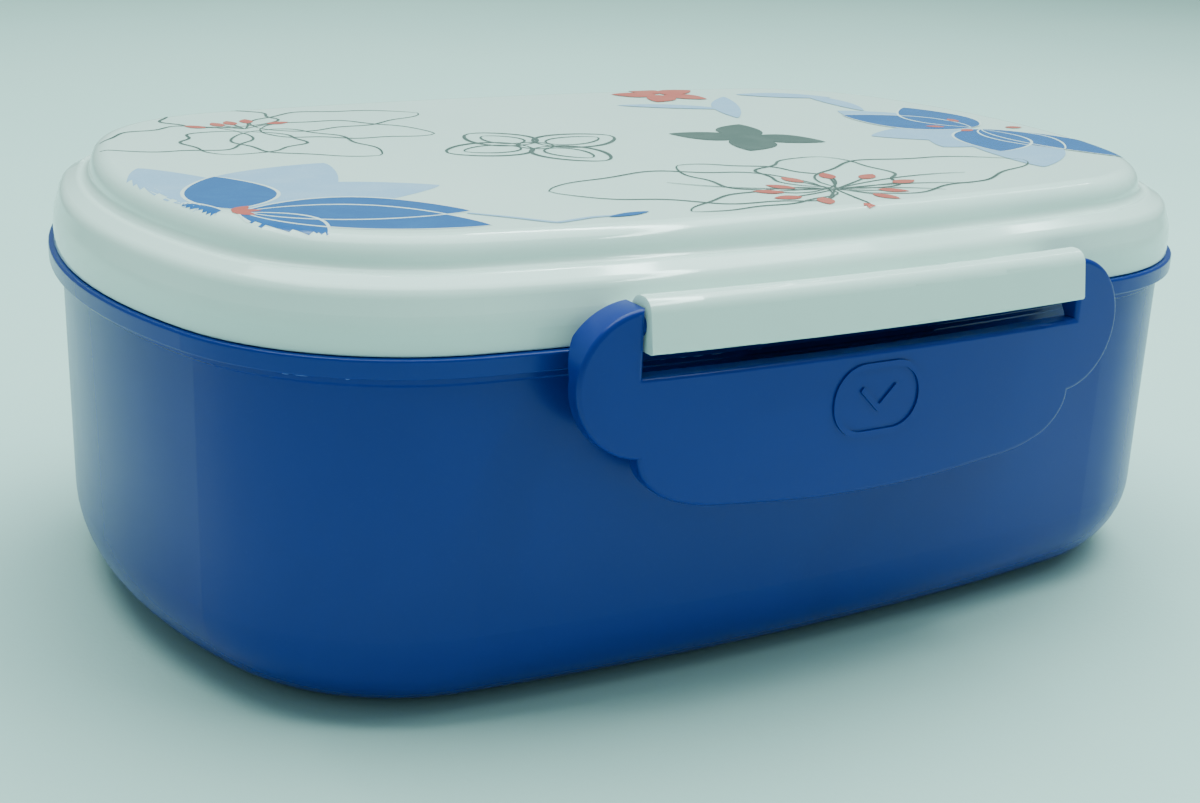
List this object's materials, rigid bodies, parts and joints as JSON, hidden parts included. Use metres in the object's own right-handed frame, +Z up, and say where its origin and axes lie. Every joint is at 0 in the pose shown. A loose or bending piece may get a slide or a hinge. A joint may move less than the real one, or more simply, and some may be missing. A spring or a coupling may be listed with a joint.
{
  "type": "bento lunch box",
  "caption": "Oval bento lunch box: outer container, lift-out divided food tray, two-step sealed lid and two swinging butterfly latches that hook under lugs on the container.",
  "frame": {"origin": "centre of the base's underside, on the surface it stands on", "axes": "+X along the long side, -Y towards the front latch, +Z up"},
  "size_m": [0.1918, 0.1474, 0.0694],
  "materials": {
    "blue_shell": "semi-gloss moulded polypropylene",
    "blue_tray": "semi-gloss moulded polypropylene",
    "blue_latch": "fine satin faces with polished edges",
    "blue_divider": "semi-gloss moulded polypropylene",
    "white_lid": "glossy with a printed panel",
    "seal_silicone": "matte translucent silicone"
  },
  "bodies": {
    "base": {"base_shell": "blue_shell"},
    "tray": {"food_tray": "blue_tray"},
    "divider_left": {"left_divider": "blue_divider"},
    "divider_right": {"right_divider": "blue_divider"},
    "lid": {"lid_shell": "white_lid", "lid_seal": "seal_silicone"},
    "latch_front": {"front_latch": "blue_latch"},
    "latch_rear": {"rear_latch": "blue_latch"}
  },
  "joints": [
    {"name": "lid_lift", "type": "slide", "parent": "base", "child": "lid", "axis": [0, 0, 1], "range_m": [0, 0.15]},
    {"name": "tray_lift", "type": "slide", "parent": "base", "child": "tray", "axis": [0, 0, 1], "range_m": [0, 0.075]},
    {"name": "left_divider_lift", "type": "slide", "parent": "tray", "child": "divider_left", "axis": [0, 0, 1], "range_m": [0, 0.045]},
    {"name": "right_divider_lift", "type": "slide", "parent": "tray", "child": "divider_right", "axis": [0, 0, 1], "range_m": [0, 0.045]},
    {"name": "front_latch_swing", "type": "hinge", "parent": "lid", "child": "latch_front", "pos_m": [0, -0.06875, 0.0593], "axis": [-1, 0, 0], "range_deg": [0, 100]},
    {"name": "rear_latch_swing", "type": "hinge", "parent": "lid", "child": "latch_rear", "pos_m": [0, 0.06875, 0.0593], "axis": [1, 0, 0], "range_deg": [0, 100]}
  ],
  "couplings": [
    {"joint": "tray_lift", "follows": "lid_lift", "ratio": 0.5},
    {"joint": "left_divider_lift", "follows": "lid_lift", "ratio": 0.3},
    {"joint": "right_divider_lift", "follows": "lid_lift", "ratio": 0.3}
  ]
}
